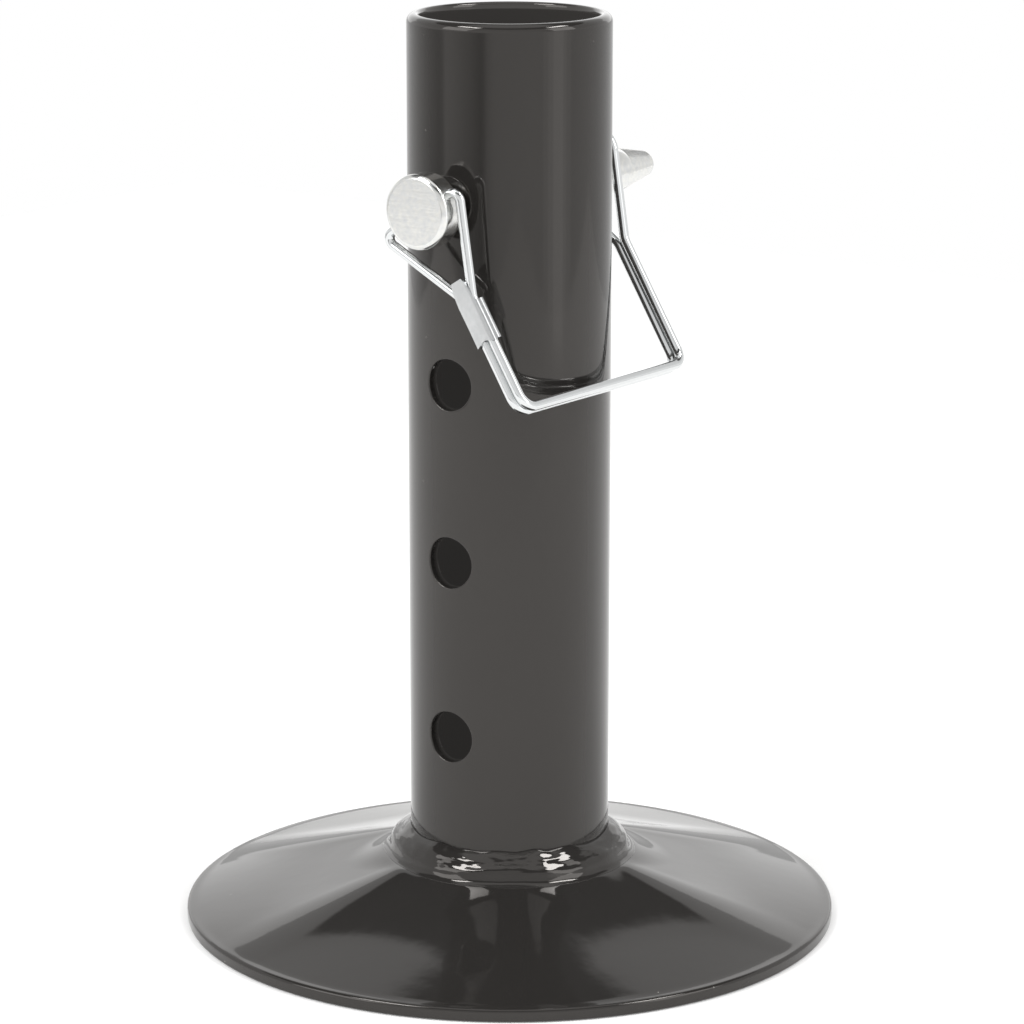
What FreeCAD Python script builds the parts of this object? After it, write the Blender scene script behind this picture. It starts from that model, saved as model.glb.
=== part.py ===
import FreeCAD, Part
import Sketcher
import math
import os

from FreeCAD import Placement, Rotation, Vector

# Drop-leg foot: a drilled round tube welded to a pressed round plate, with a lock pin
# whose wire bail swings round the tube and springs over the pin's tip.
# The pin runs along X, the tube stands along Z, and the plate's rim rests at Z = 0.

sizes = {
    # Tube: 2 1/4 in outside, with 9/16 in cross holes every 2 in.
    "tube_diameter": 57.15,
    "tube_wall": 3.5,
    "overall_height": 260.2,
    "lip_rounding": 1.0,
    "hole_diameter": 14.4,
    "hole_pitch": 50.8,
    "hole_count": 4,
    "top_hole_drop": 49.5,
    # Plate: pressed sheet, six-sided round the hub and round at its narrow flat rim.
    "plate_diameter": 187.2,
    "plate_thickness": 3.5,
    "ridge_count": 6,
    "ridge_angle": 39.2,
    "ridge_rounding_share": 0.25,
    "dish_radius": 91.5,
    "crease_radius": 70.0,
    "hub_rise": 15.0,
    "hub_foot_radius": 44.0,
    "rim_rounding": 0.6,
    "drain_hole_diameter": 32.0,
    # Weld: one fillet round the tube's foot.
    "weld_width": 7.4,
    "weld_height": 7.6,
    "weld_crown": 0.8,
    "weld_gap": 0.3,
    # Lock pin: 1/2 in shank, cross-drilled head, long tapered tip.
    "pin_diameter": 12.7,
    "pin_rest_gap": 0.2,
    "head_diameter": 20.8,
    "head_length": 7.1,
    "head_chamfer": 1.05,
    "head_gap": 7.4,
    "tip_reach": 37.0,
    "tip_length": 14.9,
    "tip_diameter": 7.4,
    "tip_rounding": 0.8,
    "cross_hole_depth": 2.9,
    # Bail: one spring wire, doubled along both legs and the bar.
    "wire_diameter": 2.76,
    "wire_gap": 0.1,
    "wire_hole_gap": 0.1,
    "wire_end_depth": 6.0,
    "bail_drop": 60.6,
    "bail_rest_gap": 0.8,
    "near_leg_gap": 8.8,
    "far_leg_gap": 9.7,
    "corner_radius": 4.5,
    "corner_to_cut": 6.0,
    "near_split": 26.9,
    "near_bend": 4.0,
    "end_bend": 2.3,
    "front_spread": 14.0,
    "back_spread": 16.7,
    "far_split": 21.2,
    "far_bend": 6.0,
    "loop_slope": 22.8,
    "loop_top": 12.0,
    "loop_bend": 7.0,
    # Crimp ferrule: sheet wrapped round both wires, with a tongue at its upper end.
    "ferrule_sheet": 0.7,
    "ferrule_length": 12.0,
    "ferrule_tongue": 6.8,
    "tongue_sheet": 0.55,
    "ferrule_start": 28.2,
    "ferrule_gap": 0.05,
    "ferrule_rounding": 1.05,
    "ferrule_seam": 0.5,
}

# Worked out from the sizes above.
worked_out = {
    "tube_radius": "=tube_diameter / 2",
    "weld_radius": "=tube_radius + weld_width",
    "hub_height": "=plate_thickness + hub_rise",
    "side_share": "=cos(180deg / ridge_count)",
    "ridge_share": "=1 - ridge_rounding_share * (1 / side_share - 1)",
    "ridge_slope": "=hub_rise / (dish_radius - weld_radius)",
    "crease_height": "=plate_thickness + (dish_radius - crease_radius * ridge_share) * ridge_slope",
    "crease_side": "=crease_radius * side_share",
    "top_side": "=weld_radius / ridge_share * side_share",
    "upper_slope": "=(hub_height - crease_height) / (crease_side - top_side)",
    "lower_slope": "=(crease_height - plate_thickness) / (dish_radius - crease_side)",
    "upper_drop": "=plate_thickness * sqrt(1 + upper_slope ^ 2)",
    "lower_drop": "=plate_thickness * sqrt(1 + lower_slope ^ 2)",
    "crease_shift": "=(upper_drop - lower_drop) / (upper_slope - lower_slope)",
    "hub_slope": "=(hub_foot_radius - top_side) * upper_slope / (hub_foot_radius - weld_radius)",
    "hub_drop": "=plate_thickness * sqrt(1 + hub_slope ^ 2)",
    "pin_hole_height": "=overall_height - top_hole_drop",
    "pin_height": "=pin_hole_height - (hole_diameter - pin_diameter) / 2 + pin_rest_gap",
    "wire_offset": "=(wire_diameter + wire_gap) / 2",
    "bar_reach": "=tube_radius + wire_diameter / 2 + bail_rest_gap",
    "bail_lean": "=(asin(bar_reach / sqrt(bail_drop ^ 2 + wire_offset ^ 2))"
    " + atan(wire_offset / bail_drop)) / 1deg",
    "head_back": "=tube_radius + head_gap",
    "cross_hole": "=head_back + cross_hole_depth",
    "near_leg": "=tube_radius + near_leg_gap",
    "far_leg": "=tube_radius + far_leg_gap",
    "tip_end": "=tube_radius + tip_reach",
}

doc = FreeCAD.newDocument("drop_leg_foot")
sheet = doc.addObject("Spreadsheet::Sheet", "Sizes")
for row, (alias, content) in enumerate(list(sizes.items()) + list(worked_out.items()), 1):
    cell = "A%d" % row
    sheet.set(cell, str(content))
    sheet.setAlias(cell, alias)
doc.recompute()
parts = []


def value(alias):
    got = getattr(sheet, alias)
    return float(getattr(got, "Value", got))


def bind(thing, prop, formula):
    thing.setExpression(prop, formula)


def finished(thing, label):
    thing.Label = label
    parts.append(thing)
    return thing


def origin_plane(body, role):
    for feature in body.Origin.OriginFeatures:
        if feature.Role == role:
            return feature
    raise ValueError(role)


def sketch_on(body, name, role):
    sketch = body.newObject("Sketcher::SketchObject", name)
    sketch.AttachmentSupport = [(origin_plane(body, role), "")]
    sketch.MapMode = "FlatFace"
    return sketch


def closed_outline(sketch, corners):
    for start, end in zip(corners, corners[1:] + corners[:1]):
        sketch.addGeometry(Part.LineSegment(Vector(*start, 0), Vector(*end, 0)), False)


def bound_circle(sketch, radius_formula, height_formula=None):
    index = sketch.addGeometry(Part.Circle(Vector(0, 0, 0), Vector(0, 0, 1), 1), False)
    sketch.addConstraint(Sketcher.Constraint("Radius", index, 1))
    sketch.setExpression("Constraints[%d]" % (sketch.ConstraintCount - 1), radius_formula)
    if height_formula is None:
        sketch.addConstraint(Sketcher.Constraint("Coincident", index, 3, -1, 1))
    else:
        sketch.addConstraint(Sketcher.Constraint("PointOnObject", index, 3, -2))
        sketch.addConstraint(Sketcher.Constraint("DistanceY", -1, 1, index, 3, 1))
        sketch.setExpression("Constraints[%d]" % (sketch.ConstraintCount - 1), height_formula)


def make_leg_tube():
    body = doc.addObject("PartDesign::Body", "LegTube")
    ring = sketch_on(body, "TubeRing", "XY_Plane")
    bound_circle(ring, "Sizes.tube_radius")
    bound_circle(ring, "Sizes.tube_radius - Sizes.tube_wall")
    tube = body.newObject("PartDesign::Pad", "Tube")
    tube.Profile = ring
    bind(tube, "Length", "Sizes.overall_height - Sizes.hub_height")
    hole = sketch_on(body, "LowestHole", "YZ_Plane")
    bound_circle(hole, "Sizes.hole_diameter / 2",
                 "Sizes.pin_hole_height - Sizes.hub_height"
                 " - (Sizes.hole_count - 1) * Sizes.hole_pitch")
    drilled = body.newObject("PartDesign::Pocket", "CrossHole")
    drilled.Profile = hole
    drilled.Type = "ThroughAll"
    drilled.SideType = "Symmetric"
    body.Tip = drilled
    doc.recompute()
    row = body.newObject("PartDesign::LinearPattern", "CrossHoles")
    row.Originals = [drilled]
    row.Direction = (hole, ["V_Axis"])
    row.Mode = "Spacing"
    bind(row, "Offset", "Sizes.hole_pitch")
    bind(row, "Occurrences", "Sizes.hole_count")
    body.Tip = row
    doc.recompute()
    top = value("overall_height") - value("hub_height")
    rims = ["Edge%d" % (number + 1) for number, edge in enumerate(row.Shape.Edges)
            if edge.BoundBox.ZMin > top - value("lip_rounding")]
    lip = body.newObject("PartDesign::Fillet", "RoundedLip")
    lip.Base = (row, rims)
    bind(lip, "Radius", "Sizes.lip_rounding")
    body.Tip = lip
    bind(body, "Placement.Base.z", "Sizes.hub_height")
    return finished(body, "leg_tube")


def level_outline(side, rounding, height):
    """A level six-sided outline with rounded corners, as lines and arcs by turns."""
    count = int(value("ridge_count"))
    half = math.pi / count
    corner = side / math.cos(half)
    centre = corner - rounding / math.cos(half)
    turn = math.radians(value("ridge_angle"))
    spots = []
    for number in range(count):
        middle = turn + 2 * half * number
        for swing in (-half, 0, half):
            spots.append(Vector(centre * math.cos(middle) + rounding * math.cos(middle + swing),
                                centre * math.sin(middle) + rounding * math.sin(middle + swing), height))
    edges = []
    for number in range(count):
        first, mid, last = spots[3 * number:3 * number + 3]
        edges.append(Part.Arc(first, mid, last).toShape())
        edges.append(Part.LineSegment(last, spots[(3 * number + 3) % len(spots)]).toShape())
    return Part.Wire(edges)


def rim_outline(radius, height):
    """The same outline opened out to a full circle, cut at matching places."""
    count = int(value("ridge_count"))
    half = math.pi / count
    near = half * value("ridge_rounding_share") * 2
    turn = math.radians(value("ridge_angle"))
    edges = []
    for number in range(count):
        middle = turn + 2 * half * number
        for start, end in ((-near, near), (near, 2 * half - near)):
            angles = (middle + start, middle + (start + end) / 2, middle + end)
            edges.append(Part.Arc(*[Vector(radius * math.cos(angle), radius * math.sin(angle), height)
                                    for angle in angles]).toShape())
    return Part.Wire(edges)


def dished_form(name, rim, foot_height, crease_side, crease_height, top_side, top_height):
    """The raised middle: flat sides down to the crease, then ruled out to the round rim."""
    rounding = value("ridge_rounding_share") / value("side_share")
    outlines = [rim_outline(rim, foot_height),
                level_outline(crease_side, crease_side * rounding, crease_height),
                level_outline(top_side, top_side * rounding, top_height)]
    form = doc.addObject("Part::Feature", name)
    form.Shape = Part.makeLoft(outlines, True, True)
    return form


def make_foot_plate():
    thickness = value("plate_thickness")
    hub_height = value("hub_height")
    disc = doc.addObject("Part::Cylinder", "RimDisc")
    bind(disc, "Radius", "Sizes.plate_diameter / 2")
    bind(disc, "Height", "Sizes.plate_thickness")
    doc.recompute()
    rounded = doc.addObject("Part::Fillet", "RoundedRim")
    rounded.Base = disc
    rim = value("rim_rounding")
    rounded.Edges = [(number + 1, rim, rim) for number, edge in enumerate(disc.Shape.Edges)
                     if edge.BoundBox.ZLength < thickness / 2]
    outer = dished_form("OuterDish", value("dish_radius"), thickness, value("crease_side"),
                        value("crease_height"), value("top_side"), hub_height)
    rim_shift = (value("lower_drop") - thickness) / value("lower_slope")
    top_shift = (value("upper_drop") - thickness) / value("upper_slope")
    crease_drop = value("upper_drop") - value("upper_slope") * value("crease_shift")
    inner = dished_form("InnerDish", value("dish_radius") - rim_shift, 0,
                        value("crease_side") - value("crease_shift"),
                        value("crease_height") - crease_drop,
                        value("top_side") - top_shift, hub_height - thickness)
    outer_hub = doc.addObject("Part::Cone", "OuterHub")
    bind(outer_hub, "Radius1", "Sizes.weld_radius + Sizes.hub_rise / Sizes.hub_slope")
    bind(outer_hub, "Radius2", "Sizes.weld_radius")
    bind(outer_hub, "Height", "Sizes.hub_rise")
    bind(outer_hub, "Placement.Base.z", "Sizes.plate_thickness")
    hub_shift = "(Sizes.hub_drop - Sizes.plate_thickness) / Sizes.hub_slope"
    inner_hub = doc.addObject("Part::Cone", "InnerHub")
    bind(inner_hub, "Radius1", "Sizes.weld_radius + Sizes.hub_rise / Sizes.hub_slope - " + hub_shift)
    bind(inner_hub, "Radius2", "Sizes.weld_radius - " + hub_shift)
    bind(inner_hub, "Height", "Sizes.hub_rise")
    solid_form = doc.addObject("Part::MultiFuse", "SolidForm")
    solid_form.Shapes = [rounded, outer, outer_hub]
    hollow_form = doc.addObject("Part::MultiFuse", "HollowForm")
    hollow_form.Shapes = [inner, inner_hub]
    pressed = doc.addObject("Part::Cut", "Pressed")
    pressed.Base = solid_form
    pressed.Tool = hollow_form
    drain = doc.addObject("Part::Cylinder", "DrainHole")
    bind(drain, "Radius", "Sizes.drain_hole_diameter / 2")
    bind(drain, "Height", "Sizes.hub_height + Sizes.plate_thickness")
    plate = doc.addObject("Part::Cut", "FootPlate")
    plate.Base = pressed
    plate.Tool = drain
    return finished(plate, "foot_plate")


def make_foot_weld():
    inner = value("tube_radius") + value("weld_gap")
    outer = value("weld_radius")
    height = value("weld_height")
    run = outer - inner
    reach = math.hypot(run, height)
    low = Vector(outer, 0, 0)
    high = Vector(inner, 0, height)
    middle = (low + high) / 2 + Vector(height, 0, run) * (value("weld_crown") / reach)
    corner = Vector(inner, 0, 0)
    outline = Part.Wire([Part.LineSegment(corner, low).toShape(), Part.Arc(low, middle, high).toShape(),
                         Part.LineSegment(high, corner).toShape()])
    weld = doc.addObject("Part::Feature", "FootWeld")
    weld.Shape = Part.Face(outline).revolve(Vector(0, 0, 0), Vector(0, 0, 1), 360)
    weld.Placement = Placement(Vector(0, 0, value("hub_height")), Rotation())
    return finished(weld, "foot_weld")


def bail_placement():
    """The shared place of the pin and its bail: local Z points up along the bail's legs."""
    return Placement(Vector(0, 0, value("pin_height")), Rotation(Vector(1, 0, 0), -value("bail_lean")))


def make_lock_pin():
    shank = value("pin_diameter") / 2
    head = value("head_diameter") / 2
    chamfer = value("head_chamfer")
    back = -value("head_back")
    front = back - value("head_length")
    end = value("tip_end")
    corners = [(front, 0), (front, head - chamfer), (front + chamfer, head), (back, head),
               (back, shank), (end - value("tip_length"), shank), (end, value("tip_diameter") / 2), (end, 0)]
    body = doc.addObject("PartDesign::Body", "LockPin")
    half = sketch_on(body, "PinOutline", "XY_Plane")
    closed_outline(half, corners)
    turned = body.newObject("PartDesign::Revolution", "TurnedPin")
    turned.Profile = half
    turned.ReferenceAxis = (half, ["H_Axis"])
    turned.Angle = 360
    body.Tip = turned
    doc.recompute()
    rims = ["Edge%d" % (number + 1) for number, edge in enumerate(turned.Shape.Edges)
            if edge.BoundBox.XMin > end - value("tip_rounding") and edge.Closed]
    softened = body.newObject("PartDesign::Fillet", "RoundedTip")
    softened.Base = (turned, rims)
    bind(softened, "Radius", "Sizes.tip_rounding")
    body.Tip = softened
    doc.recompute()
    cross = sketch_on(body, "CrossDrilling", "XZ_Plane")
    circle = Part.Circle(Vector(-value("cross_hole"), 0, 0), Vector(0, 0, 1),
                         value("wire_diameter") / 2 + value("wire_hole_gap"))
    cross.addGeometry(circle, False)
    drilled = body.newObject("PartDesign::Pocket", "WireHole")
    drilled.Profile = cross
    drilled.Type = "ThroughAll"
    drilled.SideType = "Symmetric"
    body.Tip = drilled
    doc.recompute()
    if drilled.Shape.Volume > softened.Shape.Volume - 1:
        raise ValueError("the wire hole cut nothing")
    body.Placement = bail_placement()
    return finished(body, "lock_pin")


def rounded_wire(corners, radii):
    """A wire through the corners, each inner corner turned into an arc of its radius."""
    edges = []
    start = corners[0]
    for number, radius in enumerate(radii):
        corner = corners[number + 1]
        before = (corner - corners[number]).normalize()
        after = (corners[number + 2] - corner).normalize()
        half_turn = before.getAngle(after) / 2
        setback = radius * math.tan(half_turn)
        arc_start = corner - before * setback
        arc_end = corner + after * setback
        inward = (after - before).normalize()
        arc_middle = corner + inward * (radius / math.cos(half_turn) - radius)
        edges.append(Part.LineSegment(start, arc_start).toShape())
        edges.append(Part.Arc(arc_start, arc_middle, arc_end).toShape())
        start = arc_end
    edges.append(Part.LineSegment(start, corners[-1]).toShape())
    return Part.Wire(edges)


def swept_wire(corners, radii):
    path = rounded_wire(corners, radii)
    heading = (corners[1] - corners[0]).normalize()
    circle = Part.Circle(corners[0], heading, value("wire_diameter") / 2)
    return path.makePipeShell([Part.Wire(circle.toShape())], True, True)


def make_bail_wire():
    cross = -value("cross_hole")
    near = -value("near_leg")
    far = value("far_leg")
    drop = value("bail_drop")
    offset = value("wire_offset")
    inner_end = value("head_diameter") / 2 - value("wire_end_depth")
    radii = [value("end_bend"), value("near_bend"), value("corner_radius"), value("corner_radius")]
    strands = []
    for side, spread in ((1, value("back_spread")), (-1, value("front_spread"))):
        corners = [Vector(cross, side * inner_end, 0), Vector(cross, side * spread, 0),
                   Vector(near, side * offset, -value("near_split")), Vector(near, side * offset, -drop),
                   Vector(far, side * offset, -drop),
                   Vector(far, side * offset, value("corner_to_cut") - drop)]
        strands.append(swept_wire(corners, radii))
    wire = doc.addObject("Part::Feature", "BailWire")
    wire.Shape = Part.makeCompound(strands)
    wire.Placement = bail_placement()
    return finished(wire, "bail_wire")


def make_bail_loop():
    far = value("far_leg")
    offset = value("wire_offset")
    cut = value("corner_to_cut") - value("bail_drop")
    split = -value("far_split")
    top = value("loop_top")
    spread = offset + (top - split) * math.tan(math.radians(value("loop_slope")))
    corners = [Vector(far, offset, cut), Vector(far, offset, split), Vector(far, spread, top),
               Vector(far, -spread, top), Vector(far, -offset, split), Vector(far, -offset, cut)]
    radii = [value("far_bend"), value("loop_bend"), value("loop_bend"), value("far_bend")]
    loop = doc.addObject("Part::Feature", "BailLoop")
    loop.Shape = swept_wire(corners, radii)
    loop.Placement = bail_placement()
    return finished(loop, "bail_loop")


def make_crimp_ferrule():
    gap = value("ferrule_gap")
    wall = value("ferrule_sheet")
    rounding = value("ferrule_rounding")
    inner_x = value("wire_diameter") + 2 * gap
    inner_y = 2 * value("wire_offset") + value("wire_diameter") + 2 * gap
    outer_x = inner_x + 2 * wall
    outer_y = inner_y + 2 * wall
    length = value("ferrule_length")
    near = -value("near_leg")
    bottom = -value("ferrule_start") - length
    sleeve = Part.makeBox(outer_x, outer_y, length, Vector(near - outer_x / 2, -outer_y / 2, bottom))
    uprights = [edge for edge in sleeve.Edges if edge.BoundBox.ZLength > length / 2]
    sleeve = sleeve.makeFillet(rounding, uprights)
    space = Part.makeBox(inner_x, inner_y, length, Vector(near - inner_x / 2, -inner_y / 2, bottom))
    corners = [edge for edge in space.Edges if edge.BoundBox.ZLength > length / 2]
    space = space.makeFillet(rounding - wall, corners)
    seam_width = value("ferrule_seam")
    seam = Part.makeBox(seam_width, outer_y / 2, length, Vector(near - seam_width / 2, -outer_y / 2, bottom))
    tongue = Part.makeBox(value("tongue_sheet"), outer_y - 2 * rounding, length + value("ferrule_tongue"),
                          Vector(near - outer_x / 2, rounding - outer_y / 2, bottom))
    ferrule = doc.addObject("Part::Feature", "CrimpFerrule")
    ferrule.Shape = sleeve.cut(space).cut(seam).fuse(tongue).removeSplitter()
    ferrule.Placement = bail_placement()
    return finished(ferrule, "crimp_ferrule")


make_leg_tube()
make_foot_plate()
make_foot_weld()
make_lock_pin()
make_bail_wire()
make_bail_loop()
make_crimp_ferrule()
doc.recompute()

for thing in doc.Objects:
    if "Invalid" in thing.State or "Error" in thing.State:
        raise ValueError("%s is in a bad state: %s" % (thing.Name, thing.State))
for thing in parts:
    if thing.Shape.isNull() or not thing.Shape.isValid():
        raise ValueError("%s has a bad shape" % thing.Label)

os.makedirs("parts", exist_ok=True)
for thing in parts:
    thing.Shape.exportStep(os.path.join("parts", thing.Label + ".step"))
    box = thing.Shape.BoundBox
    print("%s volume %.1f box %.2f %.2f %.2f to %.2f %.2f %.2f" % (
        thing.Label, thing.Shape.Volume, box.XMin, box.YMin, box.ZMin, box.XMax, box.YMax, box.ZMax))
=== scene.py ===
import math

import bmesh
import bpy
from mathutils import Matrix, Vector, noise


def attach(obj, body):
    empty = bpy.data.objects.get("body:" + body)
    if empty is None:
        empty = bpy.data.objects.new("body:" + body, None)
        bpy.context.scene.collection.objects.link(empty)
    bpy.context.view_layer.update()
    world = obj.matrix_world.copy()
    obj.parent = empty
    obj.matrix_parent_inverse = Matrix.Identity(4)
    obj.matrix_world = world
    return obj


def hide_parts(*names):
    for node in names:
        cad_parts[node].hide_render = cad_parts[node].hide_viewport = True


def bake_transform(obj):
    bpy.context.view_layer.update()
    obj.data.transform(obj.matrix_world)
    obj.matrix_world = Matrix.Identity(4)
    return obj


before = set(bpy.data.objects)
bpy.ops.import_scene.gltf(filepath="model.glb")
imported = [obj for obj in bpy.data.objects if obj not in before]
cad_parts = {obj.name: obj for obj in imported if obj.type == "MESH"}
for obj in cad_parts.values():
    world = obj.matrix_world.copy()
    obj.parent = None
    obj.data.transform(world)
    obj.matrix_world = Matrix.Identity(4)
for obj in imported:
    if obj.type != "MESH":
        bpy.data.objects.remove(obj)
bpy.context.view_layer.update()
mm = 0.001

# Lengths are in mm. Pin and bail are drawn in one tilted frame: X along the pin, Z up the bail's legs.
bail = dict(
    lean=31.8404,  # degrees out from straight down
    pinHeight=210.05,
    wire=1.38,  # wire radius
    strand=1.43,  # half the spacing of the two strands
    nearLeg=-37.375,
    farLeg=38.275,
    drop=60.6,
    corner=4.5,
    cut=54.6,  # where the loop's hinge stands, down the far leg
)
lean = math.radians(bail["lean"])
bailFrame = (Matrix.Translation((0, 0, bail["pinHeight"] * mm))
             @ Matrix.Rotation(-lean, 4, "X"))


def smoothStep(low, high, x):
    t = min(max((x - low) / (high - low), 0), 1)
    return t * t * (3 - 2 * t)


# The smaller of two heights, with the corner between them rounded over the reach.
def softMin(a, b, reach):
    overlap = max(reach - abs(a - b), 0) / reach
    return min(a, b) - overlap * overlap * reach / 4


def softMax(a, b, reach):
    return -softMin(-a, -b, reach)


def addPiece(name, verts, faces, material, body=None, sharpAngle=None, place=None):
    mesh = bpy.data.meshes.new(name)
    mesh.from_pydata([tuple(Vector(v) * mm) for v in verts], [], faces)
    if place is not None:
        mesh.transform(place)
    shaped = bmesh.new()
    shaped.from_mesh(mesh)
    bmesh.ops.remove_doubles(shaped, verts=shaped.verts, dist=1e-7)
    bmesh.ops.recalc_face_normals(shaped, faces=shaped.faces)
    shaped.to_mesh(mesh)
    shaped.free()
    mesh.shade_smooth()
    if sharpAngle is not None:
        mesh.set_sharp_from_angle(angle=math.radians(sharpAngle))
    mesh.materials.append(material)
    piece = bpy.data.objects.new(name, mesh)
    bpy.context.scene.collection.objects.link(piece)
    if body is not None:
        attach(piece, body)
    return piece


def addRing(verts, rings, spots):
    rings.append(list(range(len(verts), len(verts) + len(spots))))
    verts.extend(spots)


# Joins each ring to the next, and with across also the last ring to the first.
def joinRings(rings, faces, across=False):
    pairs = list(zip(rings, rings[1:]))
    if across:
        pairs.append((rings[-1], rings[0]))
    for lower, upper in pairs:
        count = len(lower)
        for i in range(count):
            j = (i + 1) % count
            faces.append((lower[i], lower[j], upper[j], upper[i]))


def closeEnds(rings, faces):
    faces.append(tuple(reversed(rings[0])))
    faces.append(tuple(rings[-1]))


def anglesRound(count):
    return [2 * math.pi * i / count for i in range(count)]


def circle(radius, z, angles):
    return [(radius * math.cos(a), radius * math.sin(a), z) for a in angles]


def arc(cx, cy, radius, start, end, steps):
    return [(cx + radius * math.cos(math.radians(start + (end - start) * i / steps)),
             cy + radius * math.sin(math.radians(start + (end - start) * i / steps)))
            for i in range(steps + 1)]


def newGroup(name, inputs, outputs):
    group = bpy.data.node_groups.new(name, "ShaderNodeTree")
    for label, kind, default in inputs:
        socket = group.interface.new_socket(name=label, in_out="INPUT", socket_type=kind)
        socket.default_value = default
    for label, kind in outputs:
        group.interface.new_socket(name=label, in_out="OUTPUT", socket_type=kind)
    start = group.nodes.new("NodeGroupInput")
    end = group.nodes.new("NodeGroupOutput")
    return group, start, end


def node(tree, kind, **settings):
    made = tree.nodes.new(kind)
    for key, value in settings.items():
        if key in made.inputs:
            made.inputs[key].default_value = value
        else:
            setattr(made, key, value)
    return made


def link(tree, source, target):
    tree.links.new(source, target)


def mathNode(tree, operation, a, b=None, clamp=False):
    made = tree.nodes.new("ShaderNodeMath")
    made.operation = operation
    made.use_clamp = clamp
    for socket, value in zip(made.inputs, (a, b)):
        if value is None:
            continue
        if isinstance(value, (int, float)):
            socket.default_value = value
        else:
            tree.links.new(value, socket)
    return made.outputs[0]


def mixColour(tree, factor, a, b):
    made = tree.nodes.new("ShaderNodeMix")
    made.data_type = "RGBA"
    for socket, value in ((made.inputs[0], factor), (made.inputs[6], a), (made.inputs[7], b)):
        if isinstance(value, (int, float, tuple)):
            socket.default_value = value
        else:
            tree.links.new(value, socket)
    return made.outputs[2]


def ramp(tree, value, low, high):
    made = tree.nodes.new("ShaderNodeMapRange")
    made.inputs["From Min"].default_value = low
    made.inputs["From Max"].default_value = high
    tree.links.new(value, made.inputs["Value"])
    return made.outputs["Result"]


def noiseAt(tree, place, scale, detail, rough=0.5):
    made = tree.nodes.new("ShaderNodeTexNoise")
    made.inputs["Scale"].default_value = scale
    made.inputs["Detail"].default_value = detail
    made.inputs["Roughness"].default_value = rough
    tree.links.new(place, made.inputs["Vector"])
    return made.outputs["Fac"]


# A size here is a noise scale: the larger it is, the finer the marks.
coat = dict(
    dark=(0.0208, 0.0194, 0.0183, 1), pale=(0.0242, 0.0227, 0.0214, 1), cloudSize=30.0,
    peelShare=0.35, peelDetail=1.5, swellSize=90.0,
    roughness=0.035, sheenSize=90.0,
    dustColour=(0.30, 0.29, 0.27, 1), dustSize=150.0,
    dustEdge=0.045, dustCore=0.02,  # a speck's reach, as a share of its cell
    dustCut=0.86,  # the share of cells that stay clean
    dustRoughness=0.4,
    paintedBoreGlow=(0.0200, 0.0190, 0.0181, 1),  # painted light: a faint glow inside the bore, standing for light that gets in
    glowNone=0.0272, glowFull=0.0256,  # distance from the tube's axis, in metres
)


# An even, slightly wavy gloss coat with a few dust specks, and painted light: a faint glow on the bore's
# inner wall.
def makeCoatGroup():
    tree, start, end = newGroup(
        "powderCoat",
        [("Peel Size", "NodeSocketFloat", 420.0), ("Dust", "NodeSocketFloat", 0.5),
         ("Sheen Shift", "NodeSocketFloat", 0.04)],
        [("Color", "NodeSocketColor"), ("Roughness", "NodeSocketFloat"), ("Height", "NodeSocketFloat"),
         ("Painted Bore Glow", "NodeSocketColor")])
    place = node(tree, "ShaderNodeTexCoord").outputs["Object"]
    flat = node(tree, "ShaderNodeVectorMath", operation="MULTIPLY")
    link(tree, place, flat.inputs[0])
    flat.inputs[1].default_value = (1, 1, 0)
    reach = node(tree, "ShaderNodeVectorMath", operation="LENGTH")
    link(tree, flat.outputs[0], reach.inputs[0])
    # Painted light: surfaces near the bore's inner wall glow faintly in place of the light that gets in.
    inside = ramp(tree, reach.outputs["Value"], coat["glowNone"], coat["glowFull"])
    link(tree, mixColour(tree, inside, (0, 0, 0, 1), coat["paintedBoreGlow"]), end.inputs["Painted Bore Glow"])

    peel = node(tree, "ShaderNodeTexNoise", Detail=coat["peelDetail"])
    link(tree, start.outputs["Peel Size"], peel.inputs["Scale"])
    link(tree, place, peel.inputs["Vector"])
    swell = noiseAt(tree, place, coat["swellSize"], 1.0)
    height = mathNode(tree, "ADD", mathNode(tree, "MULTIPLY", peel.outputs["Fac"], coat["peelShare"]), swell)

    cells = node(tree, "ShaderNodeTexVoronoi", Scale=coat["dustSize"])
    link(tree, place, cells.inputs["Vector"])
    speck = ramp(tree, cells.outputs["Distance"], coat["dustEdge"], coat["dustCore"])
    split = tree.nodes.new("ShaderNodeSeparateColor")
    link(tree, cells.outputs["Color"], split.inputs[0])
    chosen = mathNode(tree, "GREATER_THAN", split.outputs[0], coat["dustCut"])
    dust = mathNode(tree, "MULTIPLY", speck, chosen, clamp=True)
    dust = mathNode(tree, "MULTIPLY", dust, start.outputs["Dust"])

    cloud = noiseAt(tree, place, coat["cloudSize"], 3.0)
    base = mixColour(tree, cloud, coat["dark"], coat["pale"])
    link(tree, mixColour(tree, dust, base, coat["dustColour"]), end.inputs["Color"])
    sheen = noiseAt(tree, place, coat["sheenSize"], 3.0)
    grain = mathNode(tree, "MULTIPLY", sheen, start.outputs["Sheen Shift"])
    rough = mathNode(tree, "ADD", grain, coat["roughness"])
    rough = mathNode(tree, "ADD", rough, mathNode(tree, "MULTIPLY", dust, coat["dustRoughness"]), clamp=True)
    link(tree, rough, end.inputs["Roughness"])
    link(tree, height, end.inputs["Height"])
    return tree


zinc = dict(
    lineSize=900.0, lineDetail=3.0, lineRoughness=0.10,
    cloudSize=700.0, cloudDetail=4.0, cloudHeight=0.5,
    noiseRoughness=0.6,
    patchLow=0.35, patchHigh=0.7, patchRoughness=0.12,
    patchColour=(0.64, 0.655, 0.67, 1), tarnishColour=(0.30, 0.305, 0.31, 1),
)


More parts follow.
